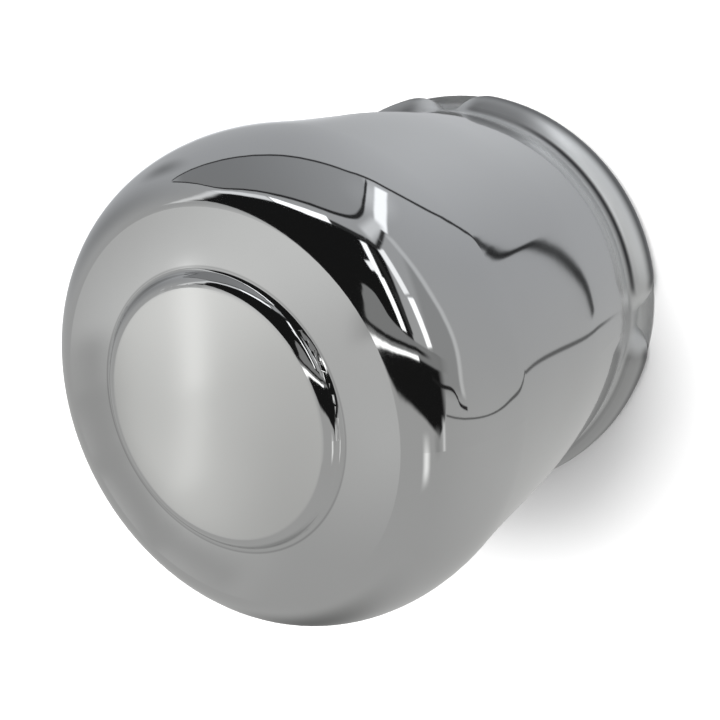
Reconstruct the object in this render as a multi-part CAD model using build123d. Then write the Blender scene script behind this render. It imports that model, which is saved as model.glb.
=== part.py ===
from build123d import *
import os
from math import atan2, degrees, hypot, sin

# Wheel the cap is pushed through, and the sheet it is drawn from
bore_diameter = 108.0  # centre bore of the wheel
bore_play = 1.0  # difference between the bore and the body of the cap
sheet = 1.0  # thickness of the plated steel

# Whole cap, standing on its open end
height = 112.5  # open end to the face of the boss
head_inset = 1.37  # how far the head stays inside the radius of the body

# Raised round boss in the middle of the head
boss_diameter = 48.9  # flat plain face
boss_height = 1.77
boss_side = 3.3  # width of the sloping side around the face
foot_round = 1.2  # hollow radius at the foot of the boss

# Rounded shoulder between the flat ring of the head and its widest line
shoulder_width = 13.7
shoulder_height = 25.9
shoulder_crown = 0.40  # pull of the curve at the flat ring, as a share of the width
shoulder_side = 0.65  # pull of the curve at the widest line, as a share of the height
neck_height = 42.9  # eased length from the head down to the straight body

# Flared rear end of the body, between and behind the beads
flare_line = 14.4  # height where the straight body ends and the flare starts
flare = 0.2  # how much wider the radius gets down to the open end

# Turned-out edge of the open end
lip_round = 2.5  # hollow bend between the body and the lip
lip_flat = 1.25  # flat width of the lip beyond its bend

# Swollen beads that stop against the back of the wheel
bead_count = 4
bead_gap = 24.0  # angle between the full sections of two beads, in degrees
bead_reach = 4.6  # how far a bead stands out from the body
bead_round = 10.1  # radius of its section and of its ends
bead_line = 3.5  # height of the widest line over the open end
bead_blend = 2.8  # hollow radius between bead and body

# Sizes that follow from the ones above
body_radius = (bore_diameter - bore_play) / 2
head_radius = body_radius - head_inset
disc_radius = boss_diameter / 2
foot_radius = disc_radius + boss_side
bend_level = sheet + lip_round
bend_wall = body_radius + flare * (1 - bend_level / flare_line)
bend_radius = bend_wall + lip_round
lip_radius = bend_radius + lip_flat
bead_arc = 360 / bead_count - bead_gap
bead_centre = body_radius + bead_reach - bead_round
ring_level = height - boss_height
shoulder_level = ring_level - shoulder_height
neck_level = shoulder_level - neck_height
ring_radius = head_radius - shoulder_width
boss_turn = 2 * atan2(boss_height, boss_side)
edge_round = boss_side / sin(boss_turn) - foot_round
touching = 0.01  # an edge this close to the wall lies on it


def arc_about(centre, radius, start, end):
    """Arc in the section plane, from one angle in degrees to another."""
    return CenterArc(centre, radius, start, end - start)


def turned_form(inset):
    """Cap without its beads, as a solid; an inset of one sheet gives the hollow."""
    turn = degrees(boss_turn)
    top = (0, height - inset)
    edge = arc_about((disc_radius, height - edge_round), edge_round - inset, 90, 90 - turn)
    foot = arc_about((foot_radius, ring_level + foot_round), foot_round + inset, 270 - turn, 270)
    crest = (ring_radius, ring_level - inset)
    wide = (head_radius - inset, shoulder_level)
    shoulder = Bezier(
        crest,
        (ring_radius + shoulder_crown * (shoulder_width - inset), ring_level - inset),
        (head_radius - inset, shoulder_level + shoulder_side * (shoulder_height - inset)),
        wide,
    )
    straight = (body_radius - inset, neck_level)
    neck = Bezier(
        wide,
        (head_radius - inset, shoulder_level - neck_height / 3),
        (body_radius - inset, neck_level + neck_height / 3),
        straight,
    )
    flared = body_radius + flare - inset
    rear = (body_radius - inset, flare_line)
    rim = Polyline(straight, rear, (flared, 0), (flared, -inset - touching), (0, -inset - touching), top)
    outline = [Line(top, edge @ 0), edge, foot, Line(foot @ 1, crest), shoulder, neck, rim]
    return revolve(Plane.XZ * make_face(outline), Axis.Z)


def bead_form(inset):
    """One bead centred on +X: a length of tube with a ball at each end."""
    radius = bead_round - inset
    run = revolve(Plane.XZ * Pos(bead_centre, bead_line) * Circle(radius), Axis.Z, bead_arc)
    ball = Pos(bead_centre, 0, bead_line) * Rot(90, 0, 0) * Sphere(radius)
    bead = run + ball + Rot(0, 0, bead_arc) * ball
    return Rot(0, 0, -bead_arc / 2) * bead


def lip_form(inset):
    """Ring that turns the open end outward, as far as the hollow bend reaches up."""
    bend = arc_about((bend_radius, bend_level), lip_round + inset, 180, 270)
    core = body_radius - 2 * sheet
    tip = [(bend_radius, -inset)] if inset else [(lip_radius, sheet), (lip_radius, 0)]
    rim = Polyline(bend @ 1, *tip, (core, -inset), (core, bend_level), bend @ 0)
    return revolve(Plane.XZ * make_face([bend, rim]), Axis.Z)


def is_join(edge, inset):
    """True for an edge where a bead leaves the flared wall."""
    points = [edge @ share for share in (0, 0.5, 1)]
    reach = [hypot(point.X, point.Y) - body_radius + inset for point in points]
    return all(-touching < out < flare + touching for out in reach) and 0 < points[1].Z < flare_line - touching


def full_form(inset):
    """Turned form with its beads blended in and its open end turned out."""
    form = turned_form(inset)
    for i in range(bead_count):
        form += Rot(0, 0, 360 / bead_count * (i + 0.5)) * bead_form(inset)
    form = split(form, Plane.XY.offset(-inset), keep=Keep.TOP)
    joins = [edge for edge in form.edges() if is_join(edge, inset)]
    return fillet(joins, bead_blend + inset) + lip_form(inset)


outer = full_form(0)
hollow = full_form(sheet)
cap_shell = outer - hollow

os.makedirs("parts", exist_ok=True)
export_step(cap_shell, "parts/cap_shell.step")
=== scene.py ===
"""Chrome wheel center cap: the plated finish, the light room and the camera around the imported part."""

import logging
import math
from dataclasses import dataclass
from enum import Enum
from typing import Any

import bpy
from mathutils import Matrix, Vector

LOG = logging.getLogger("center_cap")
Point = tuple[float, float]
Edge = tuple[float, float]
Place = tuple[float, float, float]
Colour = tuple[float, float, float]


class Zone(Enum):
    """Parts of the plated surface with their own finish, or with light and shade painted into their colour.
    """

    FACE = "face"
    RING = "ring"
    BODY = "body"
    # HOLLOW, BEAD, EDGE, CREASE and WALL hold painted light and shade; NOTCH holds painted light as well as
    # its own haze.
    HOLLOW = "hollow"
    BEAD = "bead"
    EDGE = "edge"
    CREASE = "crease"
    WALL = "wall"
    NOTCH = "notch"


class Number:
    """A number socket of a node tree that adds Math nodes when it is used in an expression."""

    def __init__(self, tree: "ShaderTree", socket: bpy.types.NodeSocket) -> None:
        """Wraps a socket.

        Args:
            tree: the tree that new nodes go into.
            socket: the output socket that holds the number.
        """
        self.tree = tree
        self.socket = socket

    def math(self, operation: str, *others: Any, first: bool = True) -> "Number":
        """Adds one Math node.

        Args:
            operation: the node's operation.
            others: numbers or wrapped sockets that go in beside this one.
            first: False puts this number after the first of the others.

        Returns:
            The node's result.
        """
        values = [self, *others] if first else [others[0], self, *others[1:]]
        return self.tree.node("ShaderNodeMath", {"operation": operation}, dict(enumerate(values))).number(0)

    def __add__(self, other: Any) -> "Number":
        """This number plus another."""
        return self.math("ADD", other)

    __radd__ = __add__

    def __sub__(self, other: Any) -> "Number":
        """This number less another."""
        return self.math("SUBTRACT", other)

    def __rsub__(self, other: Any) -> "Number":
        """Another number less this one."""
        return self.math("SUBTRACT", other, first=False)

    def __mul__(self, other: Any) -> "Number":
        """This number times another."""
        return self.math("MULTIPLY", other)

    __rmul__ = __mul__

    def __truediv__(self, other: Any) -> "Number":
        """This number over another."""
        return self.math("DIVIDE", other)

    def above(self, edge: float, soft: float) -> "Number":
        """A soft step up.

        Args:
            edge: where the step is half way.
            soft: half the width of the step.

        Returns:
            0 well under the edge and 1 well over it.
        """
        return self.tree.smooth(self, edge - soft, edge + soft, 0.0, 1.0)

    def below(self, edge: float, soft: float) -> "Number":
        """A soft step down, from 1 under the edge to 0 over it.

        Args:
            edge: where the step is half way.
            soft: half the width of the step.

        Returns:
            1 well under the edge and 0 well over it.
        """
        return self.tree.smooth(self, edge - soft, edge + soft, 1.0, 0.0)

    def over(self, line: "Number", soft: float) -> "Number":
        """1 where this number is greater than a line, 0 where it is less, with a soft edge.

        Args:
            line: the number to compare with.
            soft: half the width of the edge.

        Returns:
            The mask.
        """
        return (self - line).above(0.0, soft)

    def near(self, line: Any, width: float, soft: float) -> "Number":
        """1 within half a width of a line, with soft edges.

        Args:
            line: the number to be near to.
            width: whole width of the band.
            soft: half the width of its soft edges.

        Returns:
            The mask.
        """
        return (self - line).math("ABSOLUTE").below(width / 2, soft)


class Made:
    """A node that was just made, with its outputs at hand."""

    def __init__(self, tree: "ShaderTree", node: bpy.types.Node) -> None:
        """Keeps the node and its tree."""
        self.tree = tree
        self.node = node

    def number(self, output: Any) -> Number:
        """An output as a number that can be used in expressions."""
        return Number(self.tree, self.node.outputs[output])

    def out(self, output: Any) -> bpy.types.NodeSocket:
        """An output as a plain socket."""
        return self.node.outputs[output]


class ShaderTree:
    """A node tree that is written as Python expressions."""

    def __init__(self, tree: bpy.types.NodeTree) -> None:
        """Empties the tree and keeps it."""
        self.tree = tree
        tree.nodes.clear()

    def node(self, kind: str, settings: dict[str, Any], sockets: dict[Any, Any]) -> Made:
        """Makes one node.

        Args:
            kind: the node's type.
            settings: its properties, such as an operation, set before its sockets. A curve's
                points go in as "points".
            sockets: values or links of its inputs, by name or place.

        Returns:
            The node.
        """
        made = self.tree.nodes.new(kind)
        for name, value in settings.items():
            if name == "points":
                self._points(made.mapping, value)
            else:
                setattr(made, name, value)
        for name, value in sockets.items():
            if isinstance(value, Number):
                self.tree.links.new(value.socket, made.inputs[name])
            elif isinstance(value, bpy.types.NodeSocket):
                self.tree.links.new(value, made.inputs[name])
            else:
                made.inputs[name].default_value = value
        return Made(self, made)

    def _points(self, mapping: bpy.types.CurveMapping, points: list[Point]) -> None:
        """Sets a curve's points, which all lie between 0 and 1."""
        mapping.extend = "HORIZONTAL"
        curve = mapping.curves[0]
        while len(curve.points) < len(points):
            curve.points.new(0.5, 0.5)
        for mark, place in zip(curve.points, points):
            mark.location = place
            mark.handle_type = "AUTO"
        mapping.update()

    def smooth(self, value: Number, low: float, high: float, at_low: float, at_high: float) -> Number:
        """Maps a range smoothly.

        Args:
            value: the number to map.
            low: lower end of the range.
            high: upper end of the range.
            at_low: result at and under the lower end.
            at_high: result at and over the upper end.

        Returns:
            The mapped number.
        """
        settings = {"interpolation_type": "SMOOTHSTEP"}
        sockets = {"Value": value, "From Min": low, "From Max": high, "To Min": at_low, "To Max": at_high}
        return self.node("ShaderNodeMapRange", settings, sockets).number("Result")

    def dot(self, vector: bpy.types.NodeSocket, axis: Vector) -> Number:
        """The share of a vector along an axis."""
        settings = {"operation": "DOT_PRODUCT"}
        return self.node("ShaderNodeVectorMath", settings, {0: vector, 1: tuple(axis)}).number("Value")

    def curve(self, value: Number, points: tuple[Point, ...]) -> Number:
        """A smooth curve through points.

        Args:
            value: the number to read the curve at.
            points: places on the curve, by rising value.

        Returns:
            The curve's height there.
        """
        lows = [min(point[i] for point in points) for i in (0, 1)]
        spans = [max(point[i] for point in points) - lows[i] for i in (0, 1)]
        marks = [tuple((point[i] - lows[i]) / spans[i] for i in (0, 1)) for point in points]
        inside = (value - lows[0]) / spans[0]
        made = self.node("ShaderNodeFloatCurve", {"points": marks}, {"Value": inside})
        return made.number("Value") * spans[1] + lows[1]

    def mix(self, share: Any, low: Any, high: Any) -> bpy.types.NodeSocket:
        """Blends two colours.

        Args:
            share: how much of the second colour shows.
            low: first colour, or a link.
            high: second colour, or a link.

        Returns:
            The blended colour.
        """
        colours = [(*c, 1.0) if isinstance(c, tuple) else c for c in (low, high)]
        made = self.node("ShaderNodeMix", {"data_type": "RGBA"}, {0: share, 6: colours[0], 7: colours[1]})
        return made.out(2)


@dataclass(frozen=True)
class Span:
    """A range with a soft edge at each end."""

    start: float
    end: float
    start_soft: float
    end_soft: float

    def mask(self, value: Number) -> Number:
        """1 inside the range and 0 outside it."""
        return value.above(self.start, self.start_soft) * value.below(self.end, self.end_soft)


@dataclass(frozen=True)
class PhotoCamera:
    """Camera at the photograph's angle, in the frame of the part."""

    place: Place = (0.09478, 0.05314, 0.22058)
    right: Place = (0.8686, -0.0228, -0.4950)
    up: Place = (-0.1244, 0.9570, -0.2622)
    lens: float = 40.72
    sensor: float = 36.0
    nearest: float = 0.01

    def axes(self) -> tuple[Vector, Vector, Vector]:
        """Right, up and back of the camera, square to each other."""
        right = Vector(self.right).normalized()
        up = Vector(self.up)
        up = (up - right * up.dot(right)).normalized()
        return right, up, right.cross(up)

    def build(self) -> bpy.types.Object:
        """Adds the camera and makes it the scene's.

        Returns:
            The camera.
        """
        data = bpy.data.cameras.new("photo_camera")
        data.lens = self.lens
        data.sensor_width = self.sensor
        data.clip_start = self.nearest
        camera = bpy.data.objects.new("photo_camera", data)
        turn = Matrix(self.axes()).transposed().to_4x4()
        camera.matrix_world = Matrix.Translation(Vector(self.place)) @ turn
        bpy.context.scene.collection.objects.link(camera)
        bpy.context.scene.camera = camera
        return camera


@dataclass(frozen=True)
class Strip:
    """A straight lamp or line in the light room, in degrees right and up of the camera."""

    start: Point
    end: Point
    width: float
    soft: float
    light: float


@dataclass(frozen=True)
class Glow:
    """A soft round patch of the room, lighter or darker than the wall around it."""

    centre: Point
    radius: float
    light: float


@dataclass(frozen=True)
class Seam:
    """A curved line of the room that runs across (along x) or upright (along y)."""

    upright: bool
    points: tuple[Point, ...]
    widths: Point
    widen: Point
    soft: float
    ends: float
    light: float

    def line(self, tree: ShaderTree, x: Number, y: Number) -> Number:
        """Where the seam lies beside a place of the map."""
        return tree.curve(y if self.upright else x, self.points)

    def mask(self, tree: ShaderTree, x: Number, y: Number) -> Number:
        """1 on the seam and 0 beside it.

        Args:
            tree: the tree that the nodes go into.
            x: degrees right of the camera.
            y: degrees up from the camera.

        Returns:
            The mask.
        """
        run, rise = (y, x) if self.upright else (x, y)
        first, last = self.points[0][0], self.points[-1][0]
        half = tree.smooth(run, *self.widen, self.widths[0] / 2, self.widths[1] / 2)
        aside = (rise - self.line(tree, x, y)).math("ABSOLUTE") / half
        inside = run.above(first + self.ends, self.ends) * run.below(last - self.ends, self.ends)
        return aside.below(1.0, self.soft) * inside


@dataclass(frozen=True)
class LightRoom:
    """Pale room around the cap, with a dark opening at the camera and lamps at its edges.

    Places are degrees right and up of the camera, measured around it, so that the whole room
    lies in one flat map with the camera in its middle. An edge is a place with half the width
    of its softness, and a far wall starts at an edge away from the camera, right and up of it.
    """

    camera: PhotoCamera
    level: float = 0.52
    dark: float = 0.012
    spill: Colour = (0.50, 0.50, 0.50)
    backdrop: Colour = (0.90, 0.90, 0.90)
    low_tint: Colour = (1.0, 1.0, 0.985)
    high_tint: Colour = (0.97, 0.99, 1.02)
    tint_edge: Edge = (20, 60)
    left_wall: tuple[Edge, Edge, Edge] = ((152, 9), (-45, 50), (10, 70))
    left_gain: float = 1.0
    right_wall: tuple[Edge, Edge, Edge] = ((160, 6), (30, 20), (-60, 40))
    right_loss: float = 0.42
    panel: Span = Span(-72, 27, 4, 2)
    panel_soft: float = 1.0
    panel_share: float = 0.8
    panel_range: Point = (-55, 30)
    panel_light: Point = (0.25, 0.42)
    side_edge: Edge = (36, 3)
    side_rise: Span = Span(-14, 48, 4, 8)
    side_soft: float = 0.8
    side_share: float = 0.85
    side_light: float = 0.37
    opening: Span = Span(-71, 42, 2, 4)
    top_soft: float = 0.8
    foot_soft: float = 1.2
    corner: tuple[Edge, Edge] = ((20, 1.0), (0, 1.0))
    opening_top: tuple[Point, ...] = (
        (-68, 8), (-66, 19), (-60, 28), (-50, 33.5), (-38, 39), (-20, 42), (-5, 43.5), (10, 44), (16, 43),
    )
    opening_foot: tuple[Point, ...] = (
        (-68, 4), (-64, -4), (-58, -17), (-52, -28), (-45, -31), (-30, -29.8), (-15, -28.2), (0, -27.8),
        (12, -28.4), (20, -29.6), (28, -31.6), (32, -33), (35, -31.2), (40, -26), (44, -14),
    )
    wedge: Span = Span(-60, 46, 2, 6)
    wedge_soft: float = 0.7
    wedge_light: float = 0.30
    wedge_top: tuple[Point, ...] = (
        (-62, -28), (-50, -22.5), (-35, -11.5), (-20, 3), (-13, 8.5), (-7, 9), (-1, 2), (8, 1), (30, 0.5),
        (44, 0),
    )
    lamp: Span = Span(-58, 20, 1, 0.5)
    lamp_width: float = 1.7
    lamp_soft: float = 0.5
    lamp_light: float = 2.2
    lamp_line: tuple[Point, ...] = (
        (-62, -31), (-40, -22.3), (-20, -15.6), (0, -10), (10, -7.8), (20, -6.2),
    )
    slot: Span = Span(-58, 30, 2, 6)
    slot_rise: float = 3.4
    slot_width: float = 1.8
    slot_soft: float = 0.6

    def build(self) -> bpy.types.World:
        """Makes the world and lights the scene with it.

        Returns:
            The world.
        """
        world = bpy.data.worlds.new("light_room")
        bpy.context.scene.world = world
        world.use_nodes = True
        tree = ShaderTree(world.node_tree)
        room = self._room(tree)
        path = tree.node("ShaderNodeLightPath", {}, {})
        colour = tree.mix(path.number("Is Glossy Ray"), self.spill, room)
        colour = tree.mix(path.number("Is Camera Ray"), colour, self.backdrop)
        back = tree.node("ShaderNodeBackground", {}, {"Color": colour, "Strength": 1.0})
        tree.node("ShaderNodeOutputWorld", {}, {"Surface": back.out(0)})
        return world

    def _room(self, tree: ShaderTree) -> bpy.types.NodeSocket:
        """The room as the plating mirrors it."""
        right, up, back = self.camera.axes()
        look = tree.node("ShaderNodeTexCoord", {}, {}).out("Generated")
        across, along, depth = (tree.dot(look, axis) for axis in (right, up, back))
        away = depth.math("MAXIMUM", -1.0).math("MINIMUM", 1.0).math("ARCCOSINE") * (180 / math.pi)
        flat = (across * across + along * along).math("SQRT").math("MAXIMUM", 1e-5)
        x = away * across / flat
        y = away * along / flat
        light = self._walls(x, y, away)
        light = self._panels(tree, light, x, y)
        light = self._opening(tree, light, x, y)
        for seam in SEAMS:
            light = self._blend(light, seam.mask(tree, x, y), seam.light)
        for strip in STRIPS:
            light = self._blend(light, self._strip(x, y, strip), strip.light)
        tint = tree.mix(y.above(*self.tint_edge), self.low_tint, self.high_tint)
        grey = tree.node("ShaderNodeCombineColor", {}, {0: light, 1: light, 2: light}).out(0)
        settings = {"data_type": "RGBA", "blend_type": "MULTIPLY"}
        return tree.node("ShaderNodeMix", settings, {0: 1.0, 6: grey, 7: tint}).out(2)

    def _walls(self, x: Number, y: Number, away: Number) -> Number:
        """Light of the pale walls, brighter at the far left and darker at the far right."""
        away_edge, x_edge, y_edge = self.left_wall
        light = away.above(*away_edge) * x.below(*x_edge) * y.above(*y_edge) * self.left_gain + self.level
        away_edge, x_edge, y_edge = self.right_wall
        light = light - away.above(*away_edge) * x.above(*x_edge) * y.above(*y_edge) * self.right_loss
        for glow in GLOWS:
            dx, dy = x - glow.centre[0], y - glow.centre[1]
            distance = (dx * dx + dy * dy).math("SQRT")
            light = light + distance.below(glow.radius / 2, glow.radius / 2) * glow.light
        return light.math("MAXIMUM", self.dark)

    def _panels(self, tree: ShaderTree, light: Number, x: Number, y: Number) -> Number:
        """The darker wall panels between the seams."""
        eaves, sill, jamb = EAVES.line(tree, x, y), SILL.line(tree, x, y), JAMB.line(tree, x, y)
        above = eaves.over(y, self.panel_soft) * y.over(sill, self.panel_soft) * self.panel.mask(x)
        shade = tree.smooth(x, *self.panel_range, *self.panel_light)
        light = self._blend(light, above * self.panel_share, shade)
        beside = jamb.over(x, self.side_soft) * x.above(*self.side_edge) * self.side_rise.mask(y)
        return self._blend(light, beside * self.side_share, self.side_light)

    def _opening(self, tree: ShaderTree, light: Number, x: Number, y: Number) -> Number:
        """The dark opening, the pale wedge in it and the lamps beside it."""
        top = tree.curve(x, self.opening_top)
        foot = tree.curve(x, self.opening_foot)
        gap = top.over(y, self.top_soft) * y.over(foot, self.foot_soft) * self.opening.mask(x)
        gap = gap * (1 - x.above(*self.corner[0]) * y.above(*self.corner[1]))
        light = self._blend(light, gap, self.dark)
        top = tree.curve(x, self.wedge_top)
        line = tree.curve(x, self.lamp_line)
        wedge = top.over(y, self.wedge_soft) * y.over(line, self.wedge_soft) * self.wedge.mask(x)
        light = self._blend(light, wedge, self.wedge_light)
        slot = y.near(line + self.slot_rise, self.slot_width, self.slot_soft) * self.slot.mask(x)
        light = self._blend(light, slot, self.dark)
        lamp = y.near(line, self.lamp_width, self.lamp_soft) * self.lamp.mask(x)
        return self._blend(light, lamp, self.lamp_light)

    def _strip(self, x: Number, y: Number, strip: Strip) -> Number:
        """Mask of a straight strip, with square ends."""
        run = Vector(strip.end) - Vector(strip.start)
        axis = run.normalized()
        dx, dy = x - strip.start[0], y - strip.start[1]
        along = dx * axis.x + dy * axis.y
        aside = (dy * axis.x - dx * axis.y).math("ABSOLUTE")
        half = run.length / 2
        inside = (along - half).math("ABSOLUTE").below(half, strip.soft)
        return aside.below(strip.width / 2, strip.soft) * inside

    def _blend(self, light: Number, mask: Number, goal: Any) -> Number:
        """Moves a light towards a goal by a mask."""
        return light + mask * (goal - light)


STRIPS: tuple[Strip, ...] = (
    Strip((-61, 31), (-38, 40.5), 4.5, 0.8, 1.1),
    Strip((-37, 40.8), (-8, 45.2), 4.8, 0.5, 2.2),
    Strip((-74, 2), (-61, 31), 3.5, 1.5, 1.0),
    Strip((9, 41), (9, 24), 4.0, 0.6, 2.0),
    Strip((3, 26), (8, 28), 4.5, 0.6, 1.6),
    Strip((10, 24), (12, 2), 4.6, 0.6, 2.2),
    Strip((13, 40), (17, 20), 3.6, 0.8, 0.03),
    Strip((17, 20), (19.5, 3), 3.6, 0.8, 0.04),
    Strip((20, 42), (28, 23), 4.8, 0.8, 1.5),
    Strip((30, 22), (35.5, 2), 5.0, 0.8, 2.0),
    Strip((27, 56), (36, 86), 7.0, 0.9, 1.7),
    Strip((14, 48), (27, 60), 7.0, 2.5, 0.95),
    Strip((-8, 44.5), (12, 44), 3.0, 0.8, 0.04),
    Strip((12, 44), (18, 42), 3.0, 0.8, 0.04),
    Strip((18, 42), (23, 48), 2.6, 0.8, 0.04),
    Strip((23, 48), (28, 55.5), 2.4, 0.8, 0.05),
    Strip((-79.8, -26), (-79.2, -33), 2.2, 1.6, 0.46),
    Strip((-79.5, -31), (-77.3, -39), 2.4, 0.9, 0.46),
    Strip((-78.1, -37), (-72.2, -46.5), 2.4, 0.9, 0.46),
    Strip((-73.5, -45), (-66, -50.3), 2.4, 1.4, 0.48),
    Strip((-73.0, -21), (-72.3, -33), 1.0, 1.4, 1.38),
    Strip((-72.3, -33), (-71.6, -41.5), 1.0, 1.4, 1.12),
    Strip((29.5, -32), (31, -41), 7.0, 3.5, 0.40),
    Strip((12.3, -36.5), (13.6, -49), 9.0, 4.5, 1.3),
    Strip((38.4, -26), (38.4, -37), 1.6, 2.4, 1.1),
)
GLOWS: tuple[Glow, ...] = (
    Glow((53, 113), 75, 0.13),
    Glow((100, -55), 75, 0.07),
    Glow((-105, 40), 48, -0.16),
    Glow((-25, -145), 60, -0.30),
    Glow((5, -128), 50, -0.10),
    Glow((-66, -20), 20, 0.36),
    Glow((-75, -26), 10, 0.20),
    Glow((-57, -38), 12, 0.15),
    Glow((-81, 87), 18, -0.22),
    Glow((27, 78), 20, 0.28),
    Glow((-74, -38), 12, 0.26),
    Glow((-72, -47), 11, 0.18),
)
EAVES = Seam(
    upright=False,
    points=(
        (-74.2, 61), (-64.1, 75.3), (-52.3, 83.9), (-37.6, 91.4), (-25.4, 95.1), (-13.2, 97.1),
        (1.3, 96.7), (15.7, 94.5), (29.2, 92.3), (40, 88.5), (55.2, 83.7), (68.7, 80.3), (83, 76.6),
        (90, 74.2), (95, 69.5), (99.1, 64.4),
    ),
    widths=(1.9, 2.1),
    widen=(30, 95),
    soft=0.5,
    ends=0.3,
    light=0.05,
)
SILL = Seam(
    upright=False,
    points=(
        (-74.2, 58.9), (-64.4, 47.6), (-60, 41.5), (-57.4, 39.8), (-53, 40.8), (-47.9, 43.6),
        (-37, 48.2), (-25.9, 50.8), (-14.2, 52.5), (-1.9, 53.6), (9.4, 56.2), (16.8, 61.9),
        (22.3, 71.8), (25.5, 81), (29, 91.4),
    ),
    widths=(2.5, 4.6),
    widen=(6, 22),
    soft=0.45,
    ends=0.5,
    light=0.03,
)
HOOK = Seam(
    upright=False,
    points=(
        (97, 67.1), (99.1, 64.4), (101.6, 61.7), (102.9, 61.2), (104.5, 62), (106.1, 60.7),
        (108.3, 57.9), (111.4, 53.7), (114.9, 48.3), (118.9, 41.5), (122.4, 35.1), (125.3, 29),
        (127.8, 22.6), (129.4, 18), (131, 13),
    ),
    widths=(2.8, 4.4),
    widen=(106, 126),
    soft=0.5,
    ends=0.5,
    light=0.02,
)
JAMB = Seam(
    upright=True,
    points=(
        (-16, 63.5), (-7.5, 61.3), (0, 61.4), (8.5, 60.6), (20.1, 55.5), (29, 49.4), (40, 41.5),
        (50, 33), (56, 28),
    ),
    widths=(3.4, 4.6),
    widen=(0, 40),
    soft=0.8,
    ends=2.0,
    light=0.74,
)
KERB = Seam(
    upright=False,
    points=(
        (41.6, -23.8), (52.5, -23.9), (72.4, -22.9), (85.9, -21.1), (96.6, -18.4), (107.6, -13.7),
        (116, -9.5), (120.5, -4.5), (123.4, 1.2), (125, 2.8), (127.1, 3.1), (129.3, 3), (132.7, 5),
        (136.2, 9),
    ),
    widths=(0.9, 2.6),
    widen=(85, 124),
    soft=0.6,
    ends=0.8,
    light=0.15,
)
STEP = Seam(
    upright=False,
    points=((30.7, -10.8), (40.5, -12.3), (50.5, -12.2), (55.4, -14.8), (59, -18), (66, -19)),
    widths=(1.8, 1.8),
    widen=(40, 50),
    soft=0.4,
    ends=0.6,
    light=0.02,
)
SEAMS: tuple[Seam, ...] = (EAVES, SILL, HOOK, JAMB, KERB, STEP)


HAZE: dict[Zone, float] = {Zone.FACE: 0.05, Zone.RING: 0.02, Zone.BODY: 0.02, Zone.NOTCH: 0.15}


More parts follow.
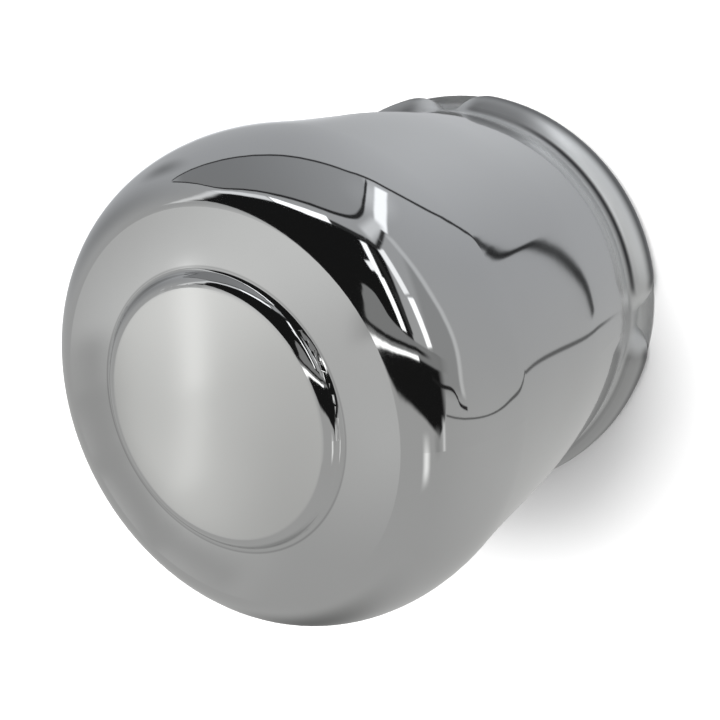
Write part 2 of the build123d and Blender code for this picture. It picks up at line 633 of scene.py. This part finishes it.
@dataclass(frozen=True)
class ChromePlate:
    """Bright chrome over a drawn steel sheet.

    Radii and heights are in metres, and an edge is a place with half the width of its softness.
    A turn runs from 0 in the middle of a notch to a half in the middle of a bead. The neck's
    lean is in degrees, by its height in millimetres. The core lies between the outside and the
    inside of the sheet, by its radius at the open end and how much of that it loses per metre.
    """

    tint: Colour = (0.585, 0.590, 0.592)
    worn: Colour = (0.560, 0.562, 0.560)
    brushed: Colour = (0.662, 0.665, 0.660)
    # Colour of painted light: on the side of the beads that faces the light, on the wall just above them
    # and in the notches.
    painted_light_colour: Colour = (0.93, 0.94, 0.94)
    # Dark colour for the grains of dust, and for painted shade on the beads, in their groove, on their
    # outer edge and in the crease at the boss's foot.
    dust_and_painted_shade: Colour = (0.07, 0.07, 0.075)
    gloss: float = 0.035
    wear: float = 0.5
    wear_edge: Edge = (0.62, 0.2)
    cloud_haze: float = 0.012
    cloud_edge: Edge = (0.55, 0.25)
    cloud_grain: Point = (45.0, 3.0)
    peel_grain: Point = (260.0, 2.0)
    peel_depth: float = 0.0000018
    wave_grain: Point = (38.0, 1.0)
    wave_depth: float = 0.000008
    # Way the light falls from, which picks the lit side of the beads for painted light and painted shade.
    lit_way: Point = (0.82, 0.57)
    lit_edge: Edge = (0.90, 0.07)
    foot_haze: float = 0.30
    foot_edge: Edge = (0.0185, 0.0045)
    face_edge: Edge = (0.0243, 0.0004)
    face_level: Edge = (0.1119, 0.0002)
    ring: Span = Span(0.0285, 0.0390, 0.0006, 0.0030)
    ring_level: Edge = (0.109, 0.001)
    # A painted shade line in the crease at the foot of the boss.
    crease_line: tuple[float, float, float] = (0.02795, 0.00035, 0.00020)
    crease_level: Edge = (0.1100, 0.0005)
    crease_painted_shade: float = 0.35
    body_top: Edge = (0.085, 0.012)
    wall: Span = Span(0.0128, 0.0185, 0.0008, 0.0030)
    wall_turn: Edge = (0.10, 0.05)
    # Painted light on the wall just above the beads.
    wall_painted_light: float = 0.9
    bead_top: Edge = (0.0150, 0.0010)
    bead_turn: Edge = (0.145, 0.03)
    bead_edge: Edge = (0.05480, 0.00020)
    # Painted shade on the side of the beads away from the light.
    bead_painted_shade: float = 0.25
    # Painted shade in the groove where the wall turns out into the beads, deeper on their lit side.
    hollow: Span = Span(0.05400, 0.05485, 0.00040, 0.00040)
    hollow_painted_shade: float = 0.4
    hollow_lit_painted_shade: float = 0.6
    # Painted shade on the outer edge of the beads: a dark reflection of the shaded floor, painted into the
    # colour.
    rim_top: Edge = (0.0064, 0.0018)
    rim_edge: Edge = (0.0568, 0.0006)
    rim_painted_shade: float = 0.92
    notch_top: Edge = (0.0100, 0.0020)
    # Painted light in the notches between the beads, lightening them towards a pale grey.
    notch_painted_light: float = 0.5
    speck_grain: float = 62.0
    speck_edge: Edge = (0.016, 0.005)
    speck_chance: Edge = (0.70, 0.01)
    speck_shade: float = 0.6
    neck: Span = Span(0.0405, 0.0872, 0.0010, 0.0003)
    neck_lean: tuple[Point, ...] = (
        (38, 0), (42, 0.08), (45, 0.62), (48, 1.10), (52, 1.47), (56, 1.72), (60, 1.90), (65, 2.06),
        (70, 2.19), (75, 2.32), (80, 2.50), (84, 2.72), (87.6, 3.14),
    )
    core_radius: float = 0.05426
    core_taper: float = 0.030
    core_soft: float = 0.0001

    def build(self) -> bpy.types.Material:
        """Makes the plating's material.

        Returns:
            The material.
        """
        material = bpy.data.materials.new("chrome_plate")
        material.use_nodes = True
        tree = ShaderTree(material.node_tree)
        place = tree.node("ShaderNodeTexCoord", {}, {}).out("Object")
        parts = tree.node("ShaderNodeSeparateXYZ", {}, {0: place})
        x, y, z = (parts.number(i) for i in range(3))
        radius = (x * x + y * y).math("SQRT")
        masks = self._zones(x, y, z, radius)
        cloud = self._noise(tree, place, *self.cloud_grain)
        peel = self._noise(tree, place, *self.peel_grain)
        wave = self._noise(tree, place, *self.wave_grain)
        colour = tree.mix(cloud.above(*self.wear_edge) * self.wear, self.tint, self.worn)
        colour = tree.mix(masks[Zone.FACE], colour, self.brushed)
        # lit is the side of each bead that faces the light; it steers painted light and painted shade
        # there.
        lit = ((x * self.lit_way[0] + y * self.lit_way[1]) / radius).above(*self.lit_edge)
        # Painted light: the lit side of the beads, the wall just above them and the notches are lightened.
        painted_light_share = masks[Zone.BEAD] * lit + masks[Zone.WALL] * self.wall_painted_light
        colour = tree.mix(painted_light_share + masks[Zone.NOTCH] * self.notch_painted_light, colour, self.painted_light_colour)
        # Painted shade on the side of the beads away from the light.
        colour = tree.mix(masks[Zone.BEAD] * (1 - lit) * self.bead_painted_shade, colour, self.dust_and_painted_shade)
        # Painted shade in the groove behind the beads, deeper on their lit side.
        shade = lit * self.hollow_lit_painted_shade + self.hollow_painted_shade
        colour = tree.mix(masks[Zone.HOLLOW] * shade, colour, self.dust_and_painted_shade)
        # Painted shade on the beads' outer edge, standing in for a dark reflection.
        colour = tree.mix(masks[Zone.EDGE] * self.rim_painted_shade, colour, self.dust_and_painted_shade)
        # Grains of dust, and a painted shade line in the crease at the foot of the boss.
        marks = self._specks(tree, place) * self.speck_shade + masks[Zone.CREASE] * self.crease_painted_shade
        colour = tree.mix(marks, colour, self.dust_and_painted_shade)
        rough = z.below(*self.foot_edge) * self.foot_haze + self.gloss
        for zone, haze in HAZE.items():
            rough = rough + masks[zone] * haze
        rough = rough + cloud.above(*self.cloud_edge) * self.cloud_haze
        relief = wave * self.wave_depth + peel * self.peel_depth
        normal = self._drawn_normal(tree, x, y, z, radius)
        sockets = {"Strength": 1.0, "Distance": 1.0, "Height": relief, "Normal": normal}
        bump = tree.node("ShaderNodeBump", {}, sockets)
        sockets = {"Base Color": colour, "Metallic": 1.0, "Roughness": rough, "Normal": bump.out(0)}
        shader = tree.node("ShaderNodeBsdfPrincipled", {}, sockets)
        tree.node("ShaderNodeOutputMaterial", {}, {"Surface": shader.out(0)})
        return material

    def _drawn_normal(
        self, tree: ShaderTree, x: Number, y: Number, z: Number, radius: Number
    ) -> bpy.types.NodeSocket:
        """Surface normal, eased along the neck on the outside of the sheet as drawing leaves it.

        Args:
            tree: the tree that the nodes go into.
            x: distance from the axis along X.
            y: distance from the axis along Y.
            z: height over the open end.
            radius: distance from the axis.

        Returns:
            The normal.
        """
        lean = tree.curve(z * 1000, self.neck_lean) * (math.pi / 180)
        eased = tree.node("ShaderNodeCombineXYZ", {}, {0: x / radius, 1: y / radius, 2: lean}).out(0)
        plain = tree.node("ShaderNodeNewGeometry", {}, {}).out("Normal")
        outside = radius.over(self.core_radius - z * self.core_taper, self.core_soft)
        share = outside * self.neck.mask(z)
        made = tree.node("ShaderNodeMix", {"data_type": "VECTOR"}, {0: share, 4: plain, 5: eased})
        return tree.node("ShaderNodeVectorMath", {"operation": "NORMALIZE"}, {0: made.out(1)}).out(0)

    def _zones(self, x: Number, y: Number, z: Number, radius: Number) -> dict[Zone, Number]:
        """Where each zone of the finish lies, and where light and shade are painted into the colour."""
        turn = (x * y).math("ABSOLUTE") / (radius * radius)
        foot = z.below(*self.bead_top) * turn.above(*self.bead_turn)
        return {
            Zone.FACE: radius.below(*self.face_edge) * z.above(*self.face_level),
            Zone.RING: self.ring.mask(radius) * z.above(*self.ring_level),
            Zone.BODY: z.below(*self.body_top),
            # HOLLOW, BEAD, EDGE, CREASE and WALL mark painted light and shade; NOTCH also gets painted
            # light.
            Zone.HOLLOW: foot * self.hollow.mask(radius),
            Zone.BEAD: foot * radius.above(*self.bead_edge),
            Zone.EDGE: foot * z.below(*self.rim_top) * radius.above(*self.rim_edge),
            Zone.CREASE: radius.near(*self.crease_line) * z.above(*self.crease_level),
            Zone.WALL: self.wall.mask(z) * turn.above(*self.wall_turn),
            Zone.NOTCH: z.below(*self.notch_top) * turn.below(*self.bead_turn),
        }

    def _specks(self, tree: ShaderTree, place: bpy.types.NodeSocket) -> Number:
        """A few grains of dust, about half a millimetre wide."""
        dots = tree.node("ShaderNodeTexVoronoi", {}, {"Vector": place, "Scale": self.speck_grain})
        chance = tree.node("ShaderNodeSeparateColor", {}, {0: dots.out("Color")}).number(0)
        return dots.number("Distance").below(*self.speck_edge) * chance.above(*self.speck_chance)

    def _noise(self, tree: ShaderTree, place: bpy.types.NodeSocket, scale: float, detail: float) -> Number:
        """Noise over the surface, from 0 to 1."""
        sockets = {"Vector": place, "Scale": scale, "Detail": detail}
        return tree.node("ShaderNodeTexNoise", {}, sockets).number(0)


@dataclass
class CenterCap:
    """The cap itself: one plated sheet."""

    node: str = "cap_shell"
    slot: str = "plated_steel"

    def dress(self, finish: ChromePlate) -> bpy.types.Object:
        """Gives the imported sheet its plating.

        Args:
            finish: the plating.

        Returns:
            The dressed piece.
        """
        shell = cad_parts[self.node]
        shell.data.materials.clear()
        shell.data.materials.append(finish.build())
        return shell


@dataclass(frozen=True)
class SoftLight:
    """A square light that looks at the cap, with its power in watts."""

    name: str
    place: Place
    size: float
    power: float

    def build(self) -> None:
        """Hangs the light, which the plating doesn't mirror."""
        data = bpy.data.lights.new(self.name, "AREA")
        data.size = self.size
        data.energy = self.power
        lamp = bpy.data.objects.new(self.name, data)
        lamp.location = self.place
        lamp.rotation_euler = Vector(self.place).to_track_quat("Z", "Y").to_euler()
        lamp.visible_glossy = False
        bpy.context.scene.collection.objects.link(lamp)


@dataclass
class Studio:
    """Pale floor and soft lights."""

    floor_size: float = 6.0
    floor_colour: Colour = (0.86, 0.86, 0.86)
    floor_rough: float = 0.9
    lights: tuple[SoftLight, ...] = (
        SoftLight("key_light", (-0.10, 0.42, 1.10), 0.50, 11.0),
        SoftLight("side_light", (-0.30, 0.22, 1.12), 0.50, 8.0),
        SoftLight("fill_light", (0.60, 0.35, 0.90), 0.80, 3.0),
    )

    def build(self) -> None:
        """Adds the floor and the lights."""
        self._floor()
        for light in self.lights:
            light.build()

    def _floor(self) -> None:
        """Adds the floor, which the plating doesn't mirror because the light room stands for it."""
        bpy.ops.object.select_all(action="DESELECT")
        bpy.ops.mesh.primitive_plane_add(size=self.floor_size)
        floor = bpy.context.object
        floor.name = "floor"
        material = bpy.data.materials.new("floor_paper")
        material.use_nodes = True
        tree = ShaderTree(material.node_tree)
        sockets = {"Base Color": (*self.floor_colour, 1.0), "Roughness": self.floor_rough}
        shader = tree.node("ShaderNodeBsdfPrincipled", {}, sockets)
        tree.node("ShaderNodeOutputMaterial", {}, {"Surface": shader.out(0)})
        floor.data.materials.append(material)
        floor.visible_glossy = False


def main() -> None:
    """Builds the camera, the studio and the cap."""
    logging.basicConfig(level=logging.INFO)
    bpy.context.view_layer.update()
    bpy.context.scene.view_settings.view_transform = "Standard"
    camera = PhotoCamera()
    camera.build()
    LightRoom(camera).build()
    Studio().build()
    cap = CenterCap().dress(ChromePlate())
    LOG.info("dressed %s, %d triangles", cap.name, len(cap.data.polygons))


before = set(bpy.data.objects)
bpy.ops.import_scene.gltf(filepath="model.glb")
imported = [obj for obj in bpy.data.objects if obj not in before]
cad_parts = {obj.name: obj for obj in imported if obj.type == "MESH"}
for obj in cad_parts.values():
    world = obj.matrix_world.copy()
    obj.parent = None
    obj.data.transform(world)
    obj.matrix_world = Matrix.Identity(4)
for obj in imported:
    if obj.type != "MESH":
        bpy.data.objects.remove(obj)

if __name__ == "__main__":
    main()
